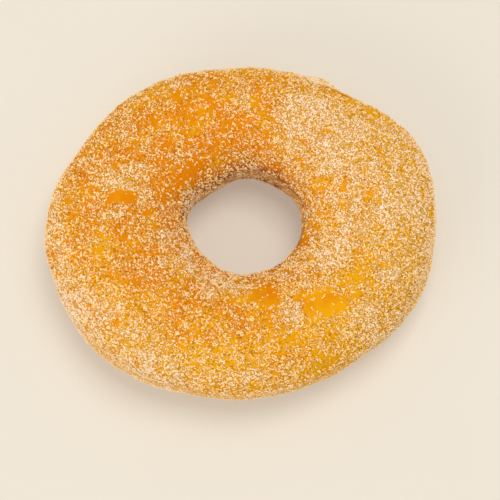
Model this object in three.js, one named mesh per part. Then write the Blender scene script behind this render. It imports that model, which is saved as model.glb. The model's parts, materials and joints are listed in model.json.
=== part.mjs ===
// A sugared ring doughnut: one solid ring of fried dough that lies flat on its base.
// Millimetres, +Z up. The origin is under the middle of the ring, on the level that it rests on.
// Ring angles run anticlockwise from +X, seen from above. Section angles run from the outer side (0)
// over the crest (90) to the side that faces the hole (180) and back under the base (270).

import * as THREE from "three";
import { ImprovedNoise } from "three/addons/math/ImprovedNoise.js";
import { mergeVertices } from "three/addons/utils/BufferGeometryUtils.js";

// Overall sizes
const LENGTH = 98;
const WIDTH = 84;
const HEIGHT = 30;
const HOLE_LENGTH = 27.4;
const HOLE_WIDTH = 24.2;
const HOLE_OFFSET_X = 1.2;
const HOLE_OFFSET_Y = 2.2;

// Hand-shaped unevenness of the two outlines: turns round the ring, size in millimetres, angle of a peak
const OUTER_WAVES = [
  { turns: 1, size: 0.6, at: 90 },
  { turns: 2, size: 0.9, at: 40 },
  { turns: 3, size: 0.4, at: 11 },
  { turns: 4, size: 0.6, at: 23 },
  { turns: 5, size: 0.3, at: 32 },
  { turns: 7, size: 0.5, at: 26 },
];
const HOLE_WAVES = [
  { turns: 2, size: 0.3, at: 51 },
  { turns: 3, size: 0.25, at: 54 },
  { turns: 4, size: 0.32, at: -7 },
  { turns: 5, size: 0.12, at: 24 },
];
const CREST_WAVES = [
  { turns: 1, size: 0.6, at: 200 },
  { turns: 3, size: 0.4, at: 70 },
];
const WAIST_WAVES = [
  { turns: 2, size: 0.7, at: 30 },
  { turns: 5, size: 0.3, at: 10 },
];

// Section: a full round on a slightly sunken, flattened base
const WAIST_HEIGHT = 14.2;
const SECTION_FULLNESS = 0.9;
const BASE_SINK = 1.12;
const BASE_EDGE_ROUND = 0.5;

// Pale belt round the waist, between two creases
const BELT_HALF_ANGLE = 9;
const CREASE_HALF_ANGLE = 3;
const CREASE_DEPTH = 0.45;

// Places where the dough stands out or dips: ring angle, section angle, spread of each, height
const BULGES = [
  { at: 64, level: -3, reach: 8, spread: 14, out: 2.2 },
  { at: 60.5, level: 2, reach: 3.5, spread: 12, out: 0.9 },
  { at: -13, level: -4, reach: 11, spread: 11, out: 1.5 },
  { at: 222, level: -6, reach: 18, spread: 10, out: 0.8 },
  { at: 163, level: 62, reach: 7, spread: 16, out: -0.6 },
  { at: 97, level: 75, reach: 3.5, spread: 40, out: -0.6 },
  { at: 318, level: 128, reach: 12, spread: 18, out: -0.5 },
];

// Soft lumps of the risen dough, two lengths of them
const LUMPS = [
  { length: 19, height: 1, lift: 66 },
  { length: 7.5, height: 0.35, lift: 0 },
];

// Shallow folds that gather unevenly at the hole
const FOLD_COUNT = 10;
const FOLD_DEPTH = 0.35;
const FOLD_SHARPNESS = 6;
const FOLD_LEVEL = 142;
const FOLD_SPREAD = 26;
const FOLD_DRIFT = [
  { turns: 3, size: 2, at: 11 },
  { turns: 2, size: 1, at: 45 },
];

// Facets round the ring and round the section, drawn closer together at the waist
const RING_STEPS = 100;
const SECTION_STEPS = 48;
const WAIST_GATHER = 0.4;

const CRUST = new THREE.MeshStandardMaterial({
  color: 0xe7a954,
  roughness: 0.6,
  metalness: 0,
});

const noise = new ImprovedNoise();
const radians = THREE.MathUtils.degToRad;

function waves(list, angle) {
  return list.reduce((sum, w) => sum + w.size * Math.cos(w.turns * (angle - radians(w.at))), 0);
}

function ellipseRadius(length, width, angle) {
  return 1 / Math.hypot((2 * Math.cos(angle)) / length, (2 * Math.sin(angle)) / width);
}

function signedPower(value, power) {
  return Math.sign(value) * Math.abs(value) ** power;
}

// The gap between two angles, the short way round, as a share of a spread in degrees
function angleShare(angle, centre, spread) {
  const gap = THREE.MathUtils.euclideanModulo(angle - radians(centre) + Math.PI, 2 * Math.PI) - Math.PI;
  return gap / radians(spread);
}

function bell(share) {
  return Math.exp(-share * share);
}

// Creases above and below the belt, on the outer side and in the hole
function creases(section) {
  const edges = [-BELT_HALF_ANGLE, BELT_HALF_ANGLE, 180 - BELT_HALF_ANGLE, 180 + BELT_HALF_ANGLE];
  const share = edges.reduce((sum, edge) => sum + bell(angleShare(section, edge, CREASE_HALF_ANGLE)), 0);
  return -CREASE_DEPTH * share;
}

function bulges(ring, section) {
  return BULGES.reduce((sum, b) => {
    const along = bell(angleShare(ring, b.at, b.reach));
    const round = bell(angleShare(section, b.level, b.spread));
    return sum + b.out * along * round;
  }, 0);
}

function folds(ring, section) {
  const phase = FOLD_COUNT * ring + waves(FOLD_DRIFT, ring);
  const groove = Math.cos(phase / 2) ** FOLD_SHARPNESS;
  return -FOLD_DEPTH * groove * bell(angleShare(section, FOLD_LEVEL, FOLD_SPREAD));
}

function lumps({ x, y, z }) {
  return LUMPS.reduce((sum, { length, height, lift }) => {
    return sum + height * noise.noise(x / length, y / length, (z + lift) / length);
  }, 0);
}

// Presses all that would sink below the resting level into one flat, with a short round at its edge
function pressFlat(z) {
  const rise = THREE.MathUtils.clamp(z + BASE_EDGE_ROUND, 0, 2 * BASE_EDGE_ROUND);
  return Math.max(rise ** 2 / (4 * BASE_EDGE_ROUND), z);
}

// One point of the skin, from its ring angle and section angle
function skinPoint(ring, section) {
  const heading = new THREE.Vector3(Math.cos(ring), Math.sin(ring), 0);
  const outerRadius = ellipseRadius(LENGTH, WIDTH, ring) + waves(OUTER_WAVES, ring);
  const holeRadius = ellipseRadius(HOLE_LENGTH, HOLE_WIDTH, ring) + waves(HOLE_WAVES, ring);
  const outer = heading.clone().multiplyScalar(outerRadius);
  const hole = heading.clone().multiplyScalar(holeRadius);
  hole.x += HOLE_OFFSET_X;
  hole.y += HOLE_OFFSET_Y;

  const across = signedPower(Math.cos(section), SECTION_FULLNESS);
  const up = signedPower(Math.sin(section), SECTION_FULLNESS);
  const waist = WAIST_HEIGHT + waves(WAIST_WAVES, ring);
  const crest = HEIGHT + waves(CREST_WAVES, ring);
  const point = hole.clone().lerp(outer, (1 + across) / 2);
  point.z = up > 0 ? waist + (crest - waist) * up : waist * (1 + BASE_SINK * up);

  const normal = outer.sub(hole).normalize().multiplyScalar(Math.cos(section));
  normal.z = Math.sin(section);
  const relief = lumps(point) + creases(section) + bulges(ring, section) + folds(ring, section);
  point.addScaledVector(normal, relief);
  point.z = pressFlat(point.z);
  return point;
}

// A torus whose grid of points is moved onto the skin
function ringGeometry() {
  const geometry = new THREE.TorusGeometry(LENGTH / 3, HEIGHT / 2, SECTION_STEPS, RING_STEPS);
  const { position, uv } = geometry.attributes;
  for (let i = 0; i < position.count; i++) {
    const ring = 2 * Math.PI * (uv.getX(i) % 1);
    const step = 2 * Math.PI * (uv.getY(i) % 1);
    const section = step - (WAIST_GATHER / 2) * Math.sin(2 * step);
    position.setXYZ(i, ...skinPoint(ring, section));
  }
  geometry.deleteAttribute("normal");
  geometry.deleteAttribute("uv");
  return sizedToFit(mergeVertices(geometry));
}

// Brings the uneven ring to its overall sizes, centred over the origin and standing on the resting level
function sizedToFit(geometry) {
  geometry.computeBoundingBox();
  const size = geometry.boundingBox.getSize(new THREE.Vector3());
  const centre = geometry.boundingBox.getCenter(new THREE.Vector3());
  geometry.translate(-centre.x, -centre.y, 0);
  geometry.scale(LENGTH / size.x, WIDTH / size.y, HEIGHT / size.z);
  geometry.computeVertexNormals();
  return geometry;
}

const doughRing = new THREE.Mesh(ringGeometry(), CRUST);
doughRing.name = "dough_ring";

const doughnut = new THREE.Group();
doughnut.add(doughRing);

export default doughnut;
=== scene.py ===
"""Sugared ring doughnut: a fried crust, the sugar grains that stick to it, and a plain stage."""

import json
import math
from typing import NamedTuple

import bmesh
import bpy
import numpy as np
from bpy.props import (
    FloatProperty,
    FloatVectorProperty,
    IntProperty,
    PointerProperty,
)
from bpy.types import Operator, Panel, PropertyGroup
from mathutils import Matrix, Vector, noise
from mathutils.kdtree import KDTree


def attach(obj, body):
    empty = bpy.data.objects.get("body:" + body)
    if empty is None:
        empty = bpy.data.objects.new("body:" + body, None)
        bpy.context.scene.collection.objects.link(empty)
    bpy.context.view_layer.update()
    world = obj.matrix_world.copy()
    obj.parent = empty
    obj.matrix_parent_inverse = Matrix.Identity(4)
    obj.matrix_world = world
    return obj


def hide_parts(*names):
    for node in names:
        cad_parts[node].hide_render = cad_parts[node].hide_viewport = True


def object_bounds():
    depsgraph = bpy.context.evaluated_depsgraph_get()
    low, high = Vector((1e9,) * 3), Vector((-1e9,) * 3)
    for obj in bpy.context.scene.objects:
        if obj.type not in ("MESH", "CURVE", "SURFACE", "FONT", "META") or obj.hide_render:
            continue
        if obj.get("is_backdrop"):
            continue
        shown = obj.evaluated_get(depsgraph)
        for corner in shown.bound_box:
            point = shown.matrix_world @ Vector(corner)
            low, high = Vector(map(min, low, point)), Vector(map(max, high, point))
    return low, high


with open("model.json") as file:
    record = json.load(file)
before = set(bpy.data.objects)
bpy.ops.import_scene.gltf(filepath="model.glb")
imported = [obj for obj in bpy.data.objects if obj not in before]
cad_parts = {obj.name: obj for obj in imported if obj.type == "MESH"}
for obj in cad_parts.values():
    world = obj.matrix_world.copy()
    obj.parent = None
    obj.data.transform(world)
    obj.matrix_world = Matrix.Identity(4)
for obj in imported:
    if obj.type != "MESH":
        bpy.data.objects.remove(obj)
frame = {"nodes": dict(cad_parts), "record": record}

bl_info = {
    "name": "Sugared Ring Doughnut",
    "version": (1, 0, 0),
    "blender": (4, 5, 0),
    "location": "View3D > Sidebar > Doughnut",
    "description": "Browned crust and sugar grains over a ring of dough, with a plain stage",
    "category": "Add Mesh",
}

MM = 0.001
DOUGH = "dough_ring"
CAD_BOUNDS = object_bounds()
HOLE_MIDDLE = np.mean(frame["record"]["physics"]["openings"][0]["box_m"], axis=0)[:2]


class Unevenness(NamedTuple):
    """A soft random change over the crust: the length of its features, where its noise starts, its size."""

    length: float
    start: tuple
    size: float


class Speckle(NamedTuple):
    """A noise pattern of a finish: length of its features, how finely they break up, where it starts."""

    length: float
    detail: float = 2.0
    start: tuple = (0, 0, 0)


# Pale belt round the waist: its height, and how it wanders as turns, size and angle of a peak in degrees
BELT_LEVEL = 14.0 * MM
BELT_WAVES = ((2, 0.7 * MM, 30), (5, 0.3 * MM, 10))

# Its edge, in half heights from its middle: how uneven it is, where the belt begins to fade and where it is
# gone, and the half width of the crease at 1; then the depth of that crease
BELT_EDGE = Unevenness(3.0 * MM, (7, 7, 2), 0.25)
BELT_SWELL = Unevenness(11.0 * MM, (3, 5, 2), 0.35)
BELT_FADE = (0.35, 1.3)
CREASE_HALF_WIDTH = 0.16
CREASE_DEPTH = 0.1 * MM

# How pale the belt is, and how much paler on the wall of the hole; then how much less painted shade the
# hollows get beside it, and the distances, in half heights, between which that sets in
BELT_PALENESS = 0.35
BELT_PALER_ON_WALL = 0.5
BELT_SPARES = 0.6
BELT_SPARING = (2.0, 1.4)

# Gap below which corners of the solid count as one, and how often its faces are split to make the skin
WELD_GAP = 0.01 * MM
SKIN_SPLITS = 2

# Wrinkles of the skin, in wrinkle heights; the heights between which all relief comes in above the base;
# the depths, in wrinkle heights, between which a hollow gets painted shade; and how often the skin is
# evened out to find its hollows
WRINKLES = (Unevenness(3.2 * MM, (2, 8, 1), 1.0), Unevenness(1.4 * MM, (8, 2, 8), 0.5))
RELIEF_RISE = (-0.2 * MM, 1.0 * MM)
HOLLOW_SHADE = (0.1, 0.7)
HOLLOW_ROUNDS = 12

# Wall of the hole: how squarely the crust faces the middle where the wall begins and is full, how ragged
# that is, how much narrower the wall is on the right, and the places along x between which it narrows
WALL_FADE = (0.87, 0.99)
WALL_RAGGED = 0.2
WALL_NARROWER = 0.05
WALL_NARROWS = (9 * MM, 14 * MM)

# Sugar on the wall: what it loses, what it loses at the belt, what its left side catches again, and the
# places along x between which it catches; then how much less the wall's painted shade and brown are at the
# belt
WALL_LOSES = 0.28
WALL_BELT_LOSES = 0.12
WALL_CATCHES = 0.42
WALL_CATCH = (11 * MM, 1 * MM)
WALL_BELT_SPARED = 0.35

# Distances from the middle of the hole between which longer frying comes in
INNER_FADE = (44 * MM, 20 * MM)

# Where sugar lies thick, then where it is thin: x, y, reach along x and y in millimetres, change of cover
SUGAR_PATCHES = (
    (32, 6, 22, 26, 0.29),
    (17, 25, 8, 9, 0.46),
    (15, 27, 4, 4, 0.39),
    (21, 22, 4, 4, 0.66),
    (28, 23, 3, 2.5, 0.60),
    (30, 12, 3.5, 2.5, 0.52),
    (22, 14, 3, 2.5, 0.39),
    (40, 4, 4, 3, 0.33),
    (26, -3, 3, 3, 0.39),
    (21.5, -9, 4.5, 2.8, 0.75),
    (35.5, -12, 3, 3, 0.26),
    (12.5, -22, 2.6, 3.6, 0.75),
    (10.5, -16, 2.5, 3, 0.26),
    (-31, 10.5, 4, 2.5, 0.45),
    (-25, 12, 3.5, 2.5, 0.39),
    (-31, 2, 3, 2.5, 0.29),
    (-19.5, -4, 3.5, 2.5, 0.29),
    (-18, -11, 3, 2.5, 0.23),
    (-29, 23, 4, 3, 0.16),
    (-34, -24, 8, 7, 0.27),
    (-24, -31, 8, 6, 0.27),
    (-19.5, -37, 8, 4, 0.40),
    (-46, -6, 5, 17, 0.22),
    (-42, -20, 6, 8, 0.40),
    (45, 4, 5, 18, 0.08),
    (0, -38, 10, 4, 0.17),
    (12, -35, 4, 3, 0.16),
    (0.5, 31, 1.5, 4.5, 0.33),
    (-11, -11.5, 3, 2.5, 0.26),
    (-4, -15.5, 4, 2, 0.26),
    (-12.3, 8, 2.2, 2.2, 0.45),
    (-16, -0.5, 2.5, 3, 0.25),
    (-13, -7, 3, 3, 0.32),
    (-6.5, -14, 3, 2.5, 0.22),
    (-8, -17, 3, 2.5, 0.15),
    (1, -16.5, 3, 2, 0.35),
    (15.5, -15, 2, 2, 0.25),
    (33, -25, 9, 6, 0.20),
    (19, 38, 5, 2.2, 0.50),
    (0.5, -12, 5, 2.2, 0.20),
    (-21, 7, 4, 4, 0.08),
    (-14, 11.5, 4.5, 4, -0.22),
    (-11, 27, 14, 8, -0.12),
    (5, 29, 3, 6, -0.10),
    (20, 9.5, 3.5, 2.5, -0.35),
    (26, 33, 6, 2.5, -0.30),
    (34, 28.5, 4, 2.5, -0.25),
    (32.5, 7, 2, 3, -0.20),
    (15.2, -2.5, 1.6, 3.5, -0.45),
    (18, 0, 1.8, 2.5, -0.20),
    (28, -12, 4.5, 5, -0.30),
    (20, -20, 6, 3.2, -0.52),
    (6, -18, 6.5, 2.5, -0.42),
    (12, -30, 2, 2, -0.15),
    (21, -36, 5, 4, -0.12),
)

# How uneven the sugar is, how far that breaks up a patch's edge and the cover itself, the distances in
# reaches between which a patch comes in, and the heights in millimetres between which all patches do
SUGAR_EDGE = (Unevenness(2.4 * MM, (3, 1, 4), 0.5), Unevenness(1.1 * MM, (1, 5, 9), 0.4))
PATCH_RAGGED = 1.2
COVER_RAGGED = 2.2
PATCH_FADE = (1.6, 0.3)
PATCH_RISE = (4, 10)

# Sugar rubs off at the base: the share that goes, and the heights in millimetres between which it goes; then
# the least cover, bare places apart
BASE_RUBBED = 0.75
BASE_RUB = (2.0, 0.2)
LEAST_COVER = 0.02


class GrainShape(NamedTuple):
    """Corners of a grain about one unit wide, and its faces."""

    corners: np.ndarray
    faces: np.ndarray


# From the middle of a grain to its corners, along each way that they lie
BLOCK_REACH = 0.5
CHIP_REACH = 0.6
SPLINTER_REACH = 0.55

BLOCK = GrainShape(
    np.array([(x, y, z) for z in (-1, 1) for y in (-1, 1) for x in (-1, 1)]) * BLOCK_REACH,
    np.array([(0, 2, 3, 1), (4, 5, 7, 6), (0, 1, 5, 4), (2, 6, 7, 3), (0, 4, 6, 2), (1, 3, 7, 5)]),
)
CHIP = GrainShape(
    np.array([(1, 0, 0), (-1, 0, 0), (0, 1, 0), (0, -1, 0), (0, 0, 1), (0, 0, -1)]) * CHIP_REACH,
    np.array([(0, 2, 4), (2, 1, 4), (1, 3, 4), (3, 0, 4), (2, 0, 5), (1, 2, 5), (3, 1, 5), (0, 3, 5)]),
)
SPLINTER = GrainShape(
    np.array([(1, 1, 1), (1, -1, -1), (-1, 1, -1), (-1, -1, 1)]) * SPLINTER_REACH,
    np.array([(0, 1, 2), (0, 2, 3), (0, 3, 1), (1, 3, 2)]),
)


class GrainKind(NamedTuple):
    """Grains of one shape: how many at most, and their smallest and largest width in millimetres."""

    name: str
    shape: GrainShape
    count: int
    low: float
    high: float


# The largest come first, and smaller ones settle in the room that these leave
GRAIN_KINDS = (
    GrainKind("sugar_coarse", BLOCK, 14000, 0.37, 0.47),
    GrainKind("sugar_middling", BLOCK, 16500, 0.30, 0.39),
    GrainKind("sugar_fine", CHIP, 24500, 0.25, 0.33),
    GrainKind("sugar_dust", SPLINTER, 49500, 0.18, 0.27),
)

# Places tried for each grain that settles alone, the room that it keeps clear and the step to a grain
# that leans on it, both as a multiple of its width, and the share of grains that lean on another
TRIES = 1.4
GRAIN_ROOM = 1.0
LEANING_STEP = 0.95
LEANING = 0.5

# Form of each grain: how far it tips, its least and most stretch along three ways, how near its middle a
# corner may be broken off, how far it stands out of the crust in widths, and its least gap above the floor
GRAIN_TIPS = 0.6
GRAIN_STRETCH = ((0.85, 0.7, 0.6), (1.2, 1.0, 0.9))
GRAIN_BROKEN = 0.72
GRAIN_RISE = 0.25
GRAIN_GAP = 0.02 * MM

# Whiteness of each grain: what thick sugar adds, the covers between which it does, what chance adds, and
# the power that makes clear grains the more common
WHITE_THICK = 0.4
WHITE_COVER = (0.2, 0.9)
WHITE_CHANCE = 0.8
WHITE_POWER = 1.5

# A bare, risen blister: x, y and its reach along x, to the far side and to the near side in millimetres
BLISTER = (-28.9, 4.9, 4.0, 2.9, 1.0)

# Its edge, in distances from its middle where 1 is the edge itself: how uneven it is, and where the blister
# rises, is bare and has sugar heaped beside it; then the cover that the heap adds, a distance that counts
# as far off, and the blister's rise in millimetres
BLISTER_EDGE = Unevenness(1.3 * MM, (4, 6, 6), 0.25)
BLISTER_FADE = (1.1, 0.6)
BLISTER_BARE = (0.9, 1.1)
BLISTER_HEAP = (1.9, 1.2)
BLISTER_HEAPED = 0.35
FAR_OFF = 9.0
BLISTER_RISE = 0.3

# A fold in the far right edge, darkened by painted shade, from one end to the other: x and y in millimetres,
# its half width, how uneven that is, the least that it counts as, and the distances from its middle between
# which it thins out
FOLD_LINE = np.array([(19.5, 36.2), (24.5, 34.4), (30.0, 31.4)])
FOLD_WIDTH = 0.55
FOLD_EDGE = Unevenness(1.2 * MM, (5, 3, 5), 0.6)
FOLD_LEAST = 0.01
FOLD_THINS = (1.5, 6.5)

# The fold's depth in millimetres, how much painted shade darkens it, and the sugar that it loses
FOLD_DEPTH = 0.4
FOLD_SHADE = 0.8
FOLD_LOSES = 0.6

# What makes the crust amber: broad patches and mottle where it fried longer, what each metre to the left and
# to the far side adds, the inner half of the ring and the blister; and the sum of these above which it shows
BROAD_PATCHES = Speckle(7 * MM, start=(0.3, 0.1, 0.7))
MOTTLE = Speckle(1.1 * MM, detail=3)
FRIED_PATCHES = 2.8
FRIED_MOTTLE = 0.8
AMBER_TOWARDS_LEFT = 12.0
AMBER_TOWARDS_FAR = 4.0
FRIED_INNER = 0.8
FRIED_BLISTER = 0.3
FRIED_LEVEL = 1.77

# Painted shade on crust between grains that lie close, and brown that is painted shade in hollows and the
# fold and, on the wall of the hole, partly painted shade and partly darker crust: the share of each colour
# at most, and the covers between which the first comes in
GAP_SHADE_SHARE = 0.6
GAP_SHADE_COVER = (0.15, 0.75)
BROWN_AND_SHADE_SHARE = 0.85

# Painted shade between grains as dark flecks, with a little darker mottle on bare crust: their noise and the
# part of it that shows, the covers between which they come in, and their shares: what sugar adds, what full
# cover hides, and what bare crust has
PAINTED_SHADE_FLECKS = Speckle(0.5 * MM, start=(0.5, 0.2, 0.9))
FLECK_SHOWS = (0.45, 0.66)
FLECK_COVER = (0.02, 0.3)
FLECK_SUGARED = 0.8
FLECK_HIDDEN = 0.2
FLECK_BARE = 0.12

# Fine dust of sugar: its noise, what cover adds to it, the part of the two that shows, and its share
SPECKS = Speckle(0.42 * MM, detail=1)
DUST_COVER = 0.35
DUST_SHOWS = (0.64, 0.88)
DUST_SHARE = 0.3

# Fine relief and gloss of the crust: its pores, how high specks stand among them, depth and strength of
# both together, the least roughness, what mottle adds to it, and its shine
PORES = Speckle(0.7 * MM, detail=3)
SPECK_HEIGHT = 0.4
PORE_DEPTH = 0.10 * MM
PORE_STRENGTH = 0.6
CRUST_ROUGHNESS = 0.5
MOTTLE_ROUGHNESS = 0.2
CRUST_SHINE = 0.015

# Gloss of the grains
SUGAR_ROUGHNESS = 0.3
SUGAR_SHINE = 0.3

# Corners of a face in its grain's own cell of the map, clear of the cell's edges
FACE_CORNERS_UV = np.array([(0.1, 0.1), (0.9, 0.1), (0.9, 0.9), (0.1, 0.9)])

# Stage, in metres: where the camera looks, the colour of all light, and each light's place and size; then
# the floor's half width, its pale clouds, the share of its colour left between them, and its roughness
AIM = Vector((2.2, -4.5, 14.0)) * MM
LIGHT_COLOUR = (1.0, 0.98, 0.95)
WINDOW_PLACE = (0.12, 0.19, 0.87)
WINDOW_SIZE = 0.40
FILL_PLACE = (-0.50, -0.55, 0.35)
FILL_SIZE = 0.6
FLOOR_HALF_WIDTH = 1.5
FLOOR_CLOUDS = Speckle(60 * MM, detail=1)
FLOOR_SHADE = 0.96
FLOOR_ROUGHNESS = 0.6


class CrustSettings(PropertyGroup):
    """Sizes and colours of the fried crust."""

    inset: FloatProperty(
        name="Inset", description="Room left for the sugar inside the dough's outline",
        default=0.2 * MM, unit="LENGTH", precision=5)
    wrinkle: FloatProperty(
        name="Wrinkle", description="Height of the skin's soft wrinkles",
        default=0.16 * MM, unit="LENGTH", precision=5)
    belt_half_height: FloatProperty(
        name="Belt half height", description="Half the height of the pale belt round the waist",
        default=2.8 * MM, unit="LENGTH", precision=5)
    golden: FloatVectorProperty(
        name="Golden", description="Crust where it fried lightly", subtype="COLOR",
        size=3, min=0, max=1, default=(0.81, 0.372, 0.003))
    amber: FloatVectorProperty(
        name="Amber", description="Crust where it fried longer", subtype="COLOR",
        size=3, min=0, max=1, default=(0.74, 0.225, 0.002))
    # Colour of painted shade in flecks between grains, and of a little darker mottle on bare crust
    deep: FloatVectorProperty(
        name="Deep", description="Small flecks of darker crust", subtype="COLOR",
        size=3, min=0, max=1, default=(0.38, 0.128, 0.003))
    # Painted shade on crust between grains that lie close
    gap_shade: FloatVectorProperty(
        name="Soaked", description="Crust between grains that lie close", subtype="COLOR",
        size=3, min=0, max=1, default=(0.57, 0.325, 0.018))
    # Colour of painted shade in hollows and the fold, and on the hole's wall partly of painted shade, partly
    # of darker crust
    brown_crust_and_shade: FloatVectorProperty(
        name="Brown", description="Crust on the wall of the hole and in creases", subtype="COLOR",
        size=3, min=0, max=1, default=(0.34, 0.092, 0.026))
    pale: FloatVectorProperty(
        name="Pale", description="Dough of the belt, which stayed out of the oil", subtype="COLOR",
        size=3, min=0, max=1, default=(0.86, 0.56, 0.22))
    dusted: FloatVectorProperty(
        name="Dusted", description="Crust under sugar too fine to see as grains", subtype="COLOR",
        size=3, min=0, max=1, default=(0.90, 0.52, 0.20))


class SugarSettings(PropertyGroup):
    """How the sugar is scattered, and its colours."""

    cover: FloatProperty(
        name="Cover", description="Usual share of the crust that sugar hides",
        default=0.255, min=0, max=1, subtype="FACTOR")
    seed: IntProperty(name="Seed", description="Start of the scatter's random draws", default=7)
    bright: FloatVectorProperty(
        name="Bright", description="Whitest grains", subtype="COLOR",
        size=3, min=0, max=1, default=(1.0, 0.835, 0.67))
    warm: FloatVectorProperty(
        name="Warm", description="Clear grains that take up the crust's colour", subtype="COLOR",
        size=3, min=0, max=1, default=(0.97, 0.64, 0.15))


class StageSettings(PropertyGroup):
    """Camera, lights and floor."""

    tilt: FloatProperty(
        name="Tilt", description="How far the camera leans from straight down",
        default=math.radians(11), subtype="ANGLE")
    distance: FloatProperty(
        name="Distance", description="From the camera to the point it looks at",
        default=0.43, unit="LENGTH")
    frame_width: FloatProperty(
        name="Frame width", description="What the picture spans at the dough's waist",
        default=0.125, unit="LENGTH")
    key_power: FloatProperty(
        name="Key power", description="Power of the window light", default=3.8, unit="POWER")
    fill_power: FloatProperty(
        name="Fill power", description="Power of the light from the near left", default=2.6, unit="POWER")
    sky: FloatProperty(name="Sky", description="Strength of the light from all round", default=0.55)
    floor: FloatVectorProperty(
        name="Floor", description="Colour of the floor", subtype="COLOR",
        size=3, min=0, max=1, default=(0.53, 0.492, 0.422))
    glow: FloatProperty(
        name="Glow", description="Light that the floor gives off, as a light table does", default=0.50)


class DoughnutSettings(PropertyGroup):
    """All that a user would change."""

    crust: PointerProperty(name="Crust", description="Settings of the fried crust", type=CrustSettings)
    sugar: PointerProperty(name="Sugar", description="Settings of the sugar grains", type=SugarSettings)
    stage: PointerProperty(name="Stage", description="Settings of the stage", type=StageSettings)


class Num:
    """A number socket that takes part in Python sums by adding Math nodes."""

    def __init__(self, finish, socket):
        self.finish = finish
        self.socket = socket

    def math(self, operation, *terms, clamp=False):
        """A Math node on numbers or sockets."""
        settings = {"operation": operation, "use_clamp": clamp}
        made = self.finish.node("ShaderNodeMath", settings, dict(enumerate(terms)))
        return Num(self.finish, made.outputs[0])

    def __add__(self, other):
        return self.math("ADD", self, other)

    def __radd__(self, other):
        return self.math("ADD", other, self)

    def __sub__(self, other):
        return self.math("SUBTRACT", self, other)

    def __rsub__(self, other):
        return self.math("SUBTRACT", other, self)

    def __mul__(self, other):
        return self.math("MULTIPLY", self, other)

    def __rmul__(self, other):
        return self.math("MULTIPLY", other, self)

    def clamped(self):
        """The number held between 0 and 1."""
        return self.math("ADD", self, 0.0, clamp=True)

    def step(self, low, high):
        """0 below low, 1 above high, smooth between."""
        inputs = {"Value": self, "From Min": low, "From Max": high}
        made = self.finish.node("ShaderNodeMapRange", {"interpolation_type": "SMOOTHSTEP"}, inputs)
        return Num(self.finish, made.outputs["Result"])


SHADER_SOCKETS = {
    "base_color": "Base Color",
    "roughness": "Roughness",
    "specular": "Specular IOR Level",
    "emission": "Emission Color",
    "emission_strength": "Emission Strength",
}


class Finish:
    """One material and the nodes that colour it."""

    def __init__(self, name):
        self.material = bpy.data.materials.new(name)
        self.material.use_nodes = True
        self.tree = self.material.node_tree
        self.shader = self.tree.nodes["Principled BSDF"]
        self.place = self.node("ShaderNodeTexCoord").outputs["Object"]

    def feed(self, socket, value):
        """Links a socket to another, or sets its value."""
        if isinstance(value, Num):
            value = value.socket
        if isinstance(value, bpy.types.NodeSocket):
            self.tree.links.new(value, socket)
        else:
            socket.default_value = value

    def node(self, kind, settings=None, inputs=None):
        """Adds a node: first its settings, then the values or links of its sockets."""
        made = self.tree.nodes.new(kind)
        for name, value in (settings or {}).items():
            setattr(made, name, value)
        by_identifier = {socket.identifier: socket for socket in made.inputs}
        for name, value in (inputs or {}).items():
            socket = by_identifier.get(name) or made.inputs[name]
            self.feed(socket, value)
        return made

    def noise(self, speckle):
        """A soft random pattern from 0 to 1."""
        moved = self.node("ShaderNodeMapping", {}, {"Vector": self.place, "Location": speckle.start})
        inputs = {"Vector": moved.outputs[0], "Scale": 1 / speckle.length, "Detail": speckle.detail}
        return Num(self, self.node("ShaderNodeTexNoise", {}, inputs).outputs["Fac"])

    def attribute(self, name):
        """A number that the mesh carries at each point."""
        made = self.node("ShaderNodeAttribute", {"attribute_name": name})
        return Num(self, made.outputs["Fac"])

    def mix(self, share, first, second):
        """A colour between two colours."""
        first, second = (
            c if isinstance(c, bpy.types.NodeSocket) else (*c, 1.0) for c in (first, second)
        )
        inputs = {"Factor_Float": share, "A_Color": first, "B_Color": second}
        made = self.node("ShaderNodeMix", {"data_type": "RGBA"}, inputs)
        return next(s for s in made.outputs if s.identifier == "Result_Color")

    def bump(self, height, distance, strength):
        """Fine relief: a height of 1 stands out by the distance given."""
        inputs = {"Height": height, "Distance": distance, "Strength": strength}
        self.feed(self.shader.inputs["Normal"], self.node("ShaderNodeBump", {}, inputs).outputs[0])

    def set(self, **values):
        """Feeds the shader and gives back the finished material."""
        for name, value in values.items():
            self.feed(self.shader.inputs[SHADER_SOCKETS[name]], value)
        return self.material


def smooth_step(low, high, value):
    """0 at low, 1 at high and smooth between. Low may be the greater of the two."""
    share = np.clip((value - low) / (high - low), 0, 1)
    return share * share * (3 - 2 * share)


def uneven(points, *changes):
    """Soft random numbers at each point: one kind of unevenness, or the sum of several."""
    total = np.zeros(len(points))
    for length, start, size in changes:
        corner = Vector(start)
        total += size * np.array([noise.noise(Vector(p) / length + corner) for p in points])
    return total


def mesh_array(items, name, width):
    """One value of every vertex, face or the like of a mesh, as rows of the width given."""
    found = np.empty(len(items) * width, np.float32)
    items.foreach_get(name, found)
    return found.reshape(-1, width).astype(float)


def add_attribute(mesh, name, values):
    """Notes one number for each point of a mesh."""
    layer = mesh.attributes.new(name, "FLOAT", "POINT")
    layer.data.foreach_set("value", values.astype(np.float32))


def add_piece(name, mesh, material):
    """A mesh as a finished piece that rides on the one body."""
    piece = bpy.data.objects.new(name, mesh)
    bpy.context.scene.collection.objects.link(piece)
    mesh.materials.clear()
    mesh.materials.append(material)
    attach(piece, "root")
    return piece


class Belt(NamedTuple):
    """The belt at each point: distance from its middle, plain and ragged, and shares of belt and crease."""

    away: np.ndarray
    ragged: np.ndarray
    share: np.ndarray
    crease: np.ndarray


def belt_level(points):
    """Height of the belt's middle at each point's angle round the ring."""
    angle = np.arctan2(points[:, 1], points[:, 0])
    waves = sum(size * np.cos(turns * (angle - math.radians(at))) for turns, size, at in BELT_WAVES)
    return BELT_LEVEL + waves


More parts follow.
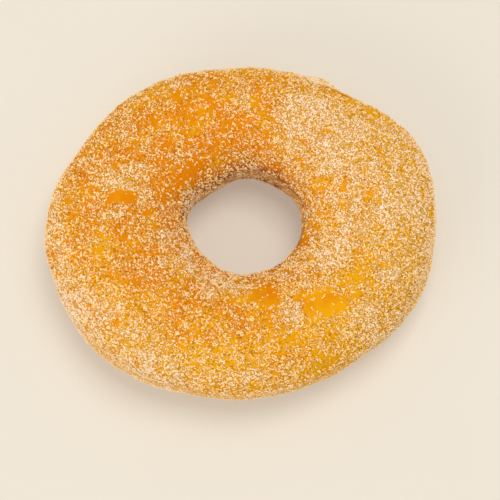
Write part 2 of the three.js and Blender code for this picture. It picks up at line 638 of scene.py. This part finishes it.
def belt_at(points, half_height):
    """The belt at each point, with distances in half heights."""
    away = np.abs(points[:, 2] - belt_level(points)) / half_height
    ragged = away + uneven(points, BELT_EDGE)
    share = 1 - smooth_step(*BELT_FADE, ragged + uneven(points, BELT_SWELL))
    crease = np.exp(-(((ragged - 1.0) / CREASE_HALF_WIDTH) ** 2))
    return Belt(away, ragged, share, crease)


def sugar_cover(points, settings):
    """Share of the crust that sugar hides at each point."""
    x, y, z = points.T / MM
    ragged = uneven(points, *SUGAR_EDGE)
    upper = smooth_step(*PATCH_RISE, z)
    cover = np.full(len(points), settings.cover)
    for at_x, at_y, reach_x, reach_y, change in SUGAR_PATCHES:
        away = np.hypot((x - at_x) / reach_x, (y - at_y) / reach_y) + PATCH_RAGGED * ragged
        cover += change * upper * smooth_step(*PATCH_FADE, away)
    cover *= 1 + COVER_RAGGED * ragged
    cover *= 1 - BASE_RUBBED * smooth_step(*BASE_RUB, z)
    cover = np.clip(cover, LEAST_COVER, 1)
    away = blister_away(points)
    cover += BLISTER_HEAPED * smooth_step(*BLISTER_HEAP, away)
    cover *= smooth_step(*BLISTER_BARE, away)
    return np.clip(cover, 0, 1)


def blister_away(points):
    """Distance from the middle of the blister: 1 at its edge."""
    x, y, z = points.T / MM
    at_x, at_y, reach_x, reach_far, reach_near = BLISTER
    away = np.hypot((x - at_x) / reach_x, (y - at_y) / np.where(y > at_y, reach_far, reach_near))
    away += uneven(points, BLISTER_EDGE)
    return np.where(z > BELT_LEVEL / MM, away, FAR_OFF)


def fold_share(points):
    """1 along the middle of the fold, 0 beyond its width, which is uneven and runs out at both ends."""
    spot = points[:, :2] / MM
    nearest = np.full(len(points), np.inf)
    for start, end in zip(FOLD_LINE[:-1], FOLD_LINE[1:]):
        way = end - start
        along = np.clip((spot - start) @ way / (way @ way), 0, 1)
        nearest = np.minimum(nearest, np.linalg.norm(spot - start - along[:, None] * way, axis=1))
    middle = FOLD_LINE[len(FOLD_LINE) // 2]
    width = FOLD_WIDTH * (1 - smooth_step(*FOLD_THINS, np.linalg.norm(spot - middle, axis=1)))
    width *= 1 + uneven(points, FOLD_EDGE)
    share = 1 - smooth_step(0, 1, nearest / np.maximum(width, FOLD_LEAST))
    return share * (points[:, 2] > BELT_LEVEL)


def hollows(mesh, points, normals):
    """How deep each point lies below the level of the crust round it."""
    ends = np.empty(2 * len(mesh.edges), np.int32)
    mesh.edges.foreach_get("vertices", ends)
    first, second = ends.reshape(-1, 2).T
    neighbours = np.bincount(ends, minlength=len(points))[:, None]
    level = points
    for _ in range(HOLLOW_ROUNDS):
        total = np.zeros_like(points)
        np.add.at(total, first, level[second])
        np.add.at(total, second, level[first])
        level = total / neighbours
    return ((level - points) * normals).sum(1)


def dough_skin():
    """The dough's solid as one smooth skin of small four-sided faces."""
    bm = bmesh.new()
    bm.from_mesh(frame["nodes"][DOUGH].data)
    bmesh.ops.remove_doubles(bm, verts=bm.verts, dist=WELD_GAP)
    bmesh.ops.join_triangles(
        bm, faces=bm.faces, angle_face_threshold=math.pi, angle_shape_threshold=math.pi)
    coarse = bpy.data.meshes.new("crust_coarse")
    bm.to_mesh(coarse)
    bm.free()
    holder = bpy.data.objects.new("crust_coarse", coarse)
    bpy.context.scene.collection.objects.link(holder)
    smoother = holder.modifiers.new("Smooth", "SUBSURF")
    smoother.levels = smoother.render_levels = SKIN_SPLITS
    bpy.context.view_layer.update()
    skin = bpy.data.meshes.new_from_object(holder.evaluated_get(bpy.context.evaluated_depsgraph_get()))
    bpy.data.objects.remove(holder)
    bpy.data.meshes.remove(coarse)
    skin.name = "crust"
    return skin


def facing_hole(points, normals):
    """1 where the crust faces the middle of the hole, 0 where it faces up or down, -1 on the outer side."""
    inward = HOLE_MIDDLE - points[:, :2]
    inward /= np.linalg.norm(inward, axis=1, keepdims=True)
    return (inward * normals[:, :2]).sum(1)


def wall_share(points, normals, belt):
    """1 on the wall of the hole and 0 elsewhere, with a ragged edge."""
    inward = facing_hole(points, normals) + WALL_RAGGED * (belt.ragged - belt.away)
    inward -= WALL_NARROWER * smooth_step(*WALL_NARROWS, points[:, 0])
    return smooth_step(*WALL_FADE, inward)


def crust_relief(points, crust, belt, blister, fold):
    """How far the crust stands out from the dough's solid at each point. Less than 0 is inside it."""
    relief = -crust.inset - CREASE_DEPTH * belt.crease
    for wrinkles in WRINKLES:
        relief += crust.wrinkle * uneven(points, wrinkles)
    relief += (BLISTER_RISE * blister - FOLD_DEPTH * fold) * MM
    return relief * smooth_step(*RELIEF_RISE, points[:, 2])


def shape_crust(skin, crust, sugar):
    """Draws the skin in to leave room for sugar, wrinkles it, and notes belt, brown with painted shade, and
    sugar on it.
    """
    points = mesh_array(skin.vertices, "co", 3)
    normals = mesh_array(skin.vertex_normals, "vector", 3)
    belt = belt_at(points, crust.belt_half_height)
    blister = smooth_step(*BLISTER_FADE, blister_away(points))
    fold = fold_share(points)
    points += normals * crust_relief(points, crust, belt, blister, fold)[:, None]
    points[:, 2] = np.maximum(points[:, 2], crust.inset)
    skin.vertices.foreach_set("co", points.astype(np.float32).ravel())
    skin.shade_smooth()
    skin.update()

    wall = wall_share(points, normals, belt)
    # Painted shade in the hollows of the skin
    painted_hollow_shade = smooth_step(*HOLLOW_SHADE, hollows(skin, points, normals) / crust.wrinkle)
    painted_hollow_shade *= 1 - BELT_SPARES * smooth_step(*BELT_SPARING, belt.away)
    caught = smooth_step(*WALL_CATCH, points[:, 0])
    cover = sugar_cover(points, sugar)
    cover += wall * (WALL_CATCHES * caught - WALL_LOSES - WALL_BELT_LOSES * belt.share) - FOLD_LOSES * fold
    from_hole = np.linalg.norm(points[:, :2] - HOLE_MIDDLE, axis=1)
    marks = {
        "belt": belt.share * (BELT_PALENESS + BELT_PALER_ON_WALL * wall),
        # Painted shade in hollows and the fold, and on the wall of the hole partly painted shade, partly
        # darker crust
        "brown_and_shade": wall * (1 - WALL_BELT_SPARED * belt.share) + FOLD_SHADE * fold + painted_hollow_shade,
        "sugar": cover,
        "blister": blister,
        "inner": smooth_step(*INNER_FADE, from_hole),
    }
    for name, values in marks.items():
        add_attribute(skin, name, np.clip(values, 0, 1))


def crust_finish(settings):
    """Golden fried skin: mottled, redder where it fried longer and towards the left and far side, pale at
    the belt, faintly dusted, with painted shade between grains, in hollows, in the fold and on the hole's
    wall, which is partly darker crust.
    """
    finish = Finish("fried_crust")
    mottle = finish.noise(MOTTLE)
    patch = finish.noise(BROAD_PATCHES)
    sugar = finish.attribute("sugar")
    across = finish.node("ShaderNodeSeparateXYZ", {}, {0: finish.place})
    along_x, along_y = (Num(finish, across.outputs[axis]) for axis in "XY")
    fried = patch * FRIED_PATCHES + mottle * FRIED_MOTTLE
    # More amber towards the left and the far side
    fried = fried - along_x * AMBER_TOWARDS_LEFT + along_y * AMBER_TOWARDS_FAR - FRIED_LEVEL
    fried = fried + finish.attribute("inner") * FRIED_INNER + finish.attribute("blister") * FRIED_BLISTER
    colour = finish.mix(fried.clamped(), settings.golden, settings.amber)
    # Painted shade on crust between grains that lie close
    colour = finish.mix(sugar.step(*GAP_SHADE_COVER) * GAP_SHADE_SHARE, colour, settings.gap_shade)
    # Painted shade in flecks between grains, and a little darker mottle on bare crust
    shade_fleck = finish.noise(PAINTED_SHADE_FLECKS).step(*FLECK_SHOWS)
    shade_fleck_share = sugar.step(*FLECK_COVER) * FLECK_SUGARED - sugar * FLECK_HIDDEN + FLECK_BARE
    colour = finish.mix(shade_fleck * shade_fleck_share, colour, settings.deep)
    colour = finish.mix(finish.attribute("belt"), colour, settings.pale)
    # Painted shade in hollows and the fold, and on the wall of the hole partly painted shade, partly darker
    # crust
    colour = finish.mix(finish.attribute("brown_and_shade") * BROWN_AND_SHADE_SHARE, colour, settings.brown_crust_and_shade)
    speck = finish.noise(SPECKS)
    dust = (speck + sugar * DUST_COVER).step(*DUST_SHOWS) * DUST_SHARE
    colour = finish.mix(dust, colour, settings.dusted)
    finish.bump(finish.noise(PORES) + SPECK_HEIGHT * speck, PORE_DEPTH, PORE_STRENGTH)
    roughness = CRUST_ROUGHNESS + MOTTLE_ROUGHNESS * mottle
    return finish.set(base_color=colour, roughness=roughness, specular=CRUST_SHINE)


def unit(vectors):
    """Each vector made one unit long."""
    return vectors / np.linalg.norm(vectors, axis=1, keepdims=True)


def draw_places(skin, count, rng):
    """Random places where sugar lies, with their outward directions and the sugar's cover there."""
    points = mesh_array(skin.vertices, "co", 3)
    normals = mesh_array(skin.vertex_normals, "vector", 3)
    cover = mesh_array(skin.attributes["sugar"].data, "value", 1)
    corners = np.empty(len(skin.loops), np.int32)
    skin.loops.foreach_get("vertex_index", corners)
    faces = corners.reshape(-1, 4)
    area = mesh_array(skin.polygons, "area", 1)
    weight = np.cumsum(area * cover[faces].mean(1))
    chosen = faces[np.searchsorted(weight, rng.random(count) * weight[-1])]
    u, v = rng.random((2, count, 1))
    shares = np.stack([(1 - u) * (1 - v), u * (1 - v), u * v, (1 - u) * v], 1)
    place, out, thick = ((values[chosen] * shares).sum(1) for values in (points, normals, cover))
    return place, unit(out), thick[:, 0]


def with_room(places, rooms):
    """Which places to keep so that each has its own room: an earlier place drives out later ones."""
    tree = KDTree(len(places))
    for index, place in enumerate(places):
        tree.insert(place, index)
    tree.balance()
    kept = np.ones(len(places), bool)
    for index, place in enumerate(places):
        if kept[index]:
            near = [other for _, other, _ in tree.find_range(place, rooms[index])]
            kept[[other for other in near if other > index]] = False
    return kept


def scatter(skin, rng):
    """Places, outward directions and cover for each kind: grains with their own room, then leaning ones."""
    leaning = [int(kind.count * LEANING) for kind in GRAIN_KINDS]
    tried = [int(TRIES * (kind.count - share)) for kind, share in zip(GRAIN_KINDS, leaning)]
    widths = [(kind.low + kind.high) / 2 * MM for kind in GRAIN_KINDS]
    drawn = draw_places(skin, sum(tried), rng)
    kept = with_room(drawn[0], GRAIN_ROOM * np.repeat(widths, tried))
    kept = np.split(kept, np.cumsum(tried)[:-1])
    starts = np.cumsum(tried) - tried
    for kind, share, width, start, free in zip(GRAIN_KINDS, leaning, widths, starts, kept):
        settled = start + np.flatnonzero(free)[:kind.count - share]
        chosen = np.concatenate([settled, rng.choice(settled, share)])
        place, out, thick = (values[chosen] for values in drawn)
        heading = unit(np.cross(out, rng.normal(size=out.shape)))
        heading[:len(settled)] = 0
        yield place + heading * width * LEANING_STEP, out, thick


def grain_mesh(kind, centre, out, thick, rng):
    """One kind of grain, at the places given, as one mesh of small uneven crystals."""
    count = len(centre)
    corners, faces = kind.shape
    face_count, sides = faces.shape
    out = unit(out + GRAIN_TIPS * rng.normal(size=(count, 3)))
    side = unit(np.cross(out, rng.normal(size=(count, 3))))
    axes = np.stack([side, np.cross(out, side), out], 1)

    width = rng.uniform(kind.low, kind.high, (count, 1)) * MM
    sizes = width * rng.uniform(*GRAIN_STRETCH, (count, 3))
    crystals = corners * rng.uniform(GRAIN_BROKEN, 1.0, (count, *corners.shape)) * sizes[:, None]
    placed = np.einsum("gci,gij->gcj", crystals, axes) + (centre + GRAIN_RISE * width * out)[:, None]
    placed[..., 2] += np.maximum(GRAIN_GAP - placed[..., 2].min(1), 0)[:, None]

    mesh = bpy.data.meshes.new(kind.name)
    each = len(corners) * np.arange(count)[:, None, None] + faces
    mesh.from_pydata(placed.reshape(-1, 3), [], each.reshape(-1, sides))
    white = WHITE_THICK * smooth_step(*WHITE_COVER, thick) + WHITE_CHANCE * rng.random(count) ** WHITE_POWER
    add_attribute(mesh, "shade", np.repeat(np.clip(white, 0, 1), len(corners)))

    cells = math.ceil(math.sqrt(count))
    cell = np.stack([np.arange(count) % cells, np.arange(count) // cells], 1)
    corner_uv = np.tile(FACE_CORNERS_UV[:sides], (face_count * count, 1))
    uv = (np.repeat(cell, faces.size, 0) + corner_uv) / cells
    mesh.uv_layers.new(name="OFBake").data.foreach_set("uv", uv.astype(np.float32).ravel())
    mesh.update()
    return mesh


def sugar_finish(settings):
    """Crystals from white to clear, each of one shade, with bright faces."""
    finish = Finish("sugar_crystal")
    colour = finish.mix(finish.attribute("shade"), settings.warm, settings.bright)
    return finish.set(base_color=colour, roughness=SUGAR_ROUGHNESS, specular=SUGAR_SHINE)


class DOUGHNUT_OT_crust(Operator):
    """Make the fried crust from the dough's solid"""

    bl_idname = "doughnut.crust"
    bl_label = "Crust"

    def execute(self, context):
        settings = context.scene.doughnut
        skin = dough_skin()
        shape_crust(skin, settings.crust, settings.sugar)
        piece = add_piece("crust", skin, crust_finish(settings.crust))
        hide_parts(DOUGH)
        return {"FINISHED"}


class DOUGHNUT_OT_sugar(Operator):
    """Scatter the kinds of sugar grain over the crust"""

    bl_idname = "doughnut.sugar"
    bl_label = "Sugar"

    def execute(self, context):
        settings = context.scene.doughnut.sugar
        skin = bpy.data.objects["crust"].data
        material = sugar_finish(settings)
        rng = np.random.default_rng(settings.seed)
        for kind, places in zip(GRAIN_KINDS, scatter(skin, rng)):
            mesh = grain_mesh(kind, *places, rng)
            add_piece(kind.name, mesh, material)
        return {"FINISHED"}


class DOUGHNUT_OT_stage(Operator):
    """Set up the floor, the light and the camera"""

    bl_idname = "doughnut.stage"
    bl_label = "Stage"

    def execute(self, context):
        settings = context.scene.doughnut.stage
        self.add_floor(context, settings)
        self.add_light(context, settings)
        self.add_camera(context, settings)
        context.scene.view_settings.view_transform = "Standard"
        return {"FINISHED"}

    def add_floor(self, context, settings):
        bm = bmesh.new()
        bmesh.ops.create_grid(bm, x_segments=1, y_segments=1, size=FLOOR_HALF_WIDTH)
        mesh = bpy.data.meshes.new("floor")
        bm.to_mesh(mesh)
        bm.free()
        floor = bpy.data.objects.new("floor", mesh)
        context.scene.collection.objects.link(floor)
        finish = Finish("pale_floor")
        shade = tuple(FLOOR_SHADE * c for c in settings.floor)
        mesh.materials.append(finish.set(
            base_color=finish.mix(finish.noise(FLOOR_CLOUDS), shade, settings.floor),
            roughness=FLOOR_ROUGHNESS,
            emission=(*settings.floor, 1.0),
            emission_strength=settings.glow,
        ))
        floor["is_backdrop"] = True

    def add_light(self, context, settings):
        world = context.scene.world or bpy.data.worlds.new("World")
        context.scene.world = world
        world.use_nodes = True
        sky = world.node_tree.nodes["Background"]
        sky.inputs["Color"].default_value = (*LIGHT_COLOUR, 1.0)
        sky.inputs["Strength"].default_value = settings.sky
        self.add_lamp(context, "window", settings.key_power, WINDOW_SIZE, WINDOW_PLACE)
        self.add_lamp(context, "fill", settings.fill_power, FILL_SIZE, FILL_PLACE)

    def add_lamp(self, context, name, power, size, place):
        """A square light that shines on the origin."""
        data = bpy.data.lights.new(name, "AREA")
        data.energy = power
        data.size = size
        data.color = LIGHT_COLOUR
        lamp = bpy.data.objects.new(name, data)
        lamp.location = place
        lamp.rotation_euler = (-lamp.location).to_track_quat("-Z", "Y").to_euler()
        context.scene.collection.objects.link(lamp)

    def add_camera(self, context, settings):
        data = bpy.data.cameras.new("camera")
        data.lens = data.sensor_width * settings.distance / settings.frame_width
        camera = bpy.data.objects.new("camera", data)
        back = Vector((0, -math.sin(settings.tilt), math.cos(settings.tilt)))
        camera.location = AIM + back * settings.distance
        camera.rotation_euler = (settings.tilt, 0, 0)
        context.scene.collection.objects.link(camera)
        context.scene.camera = camera


class DOUGHNUT_PT_sidebar(Panel):
    """Lists the pieces and what can be changed about them"""

    bl_label = "Ring Doughnut"
    bl_idname = "DOUGHNUT_PT_sidebar"
    bl_space_type = "VIEW_3D"
    bl_region_type = "UI"
    bl_category = "Doughnut"

    def draw(self, context):
        settings = context.scene.doughnut
        for name in ("crust", "sugar", "stage"):
            group = getattr(settings, name)
            box = self.layout.box()
            box.operator("doughnut." + name)
            for key in group.bl_rna.properties.keys():
                if key not in ("rna_type", "name"):
                    box.prop(group, key)


CLASSES = (
    CrustSettings,
    SugarSettings,
    StageSettings,
    DoughnutSettings,
    DOUGHNUT_OT_crust,
    DOUGHNUT_OT_sugar,
    DOUGHNUT_OT_stage,
    DOUGHNUT_PT_sidebar,
)


def register():
    for cls in CLASSES:
        bpy.utils.register_class(cls)
    bpy.types.Scene.doughnut = PointerProperty(type=DoughnutSettings)


def unregister():
    del bpy.types.Scene.doughnut
    for cls in reversed(CLASSES):
        bpy.utils.unregister_class(cls)


def main():
    """Makes the doughnut and its stage."""
    register()
    bpy.ops.doughnut.crust()
    bpy.ops.doughnut.sugar()
    bpy.ops.doughnut.stage()
    boxes = {"cad": CAD_BOUNDS, "visual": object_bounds()}
    {name: [list(corner) for corner in box] for name, box in boxes.items()}


if __name__ == "__main__":
    main()
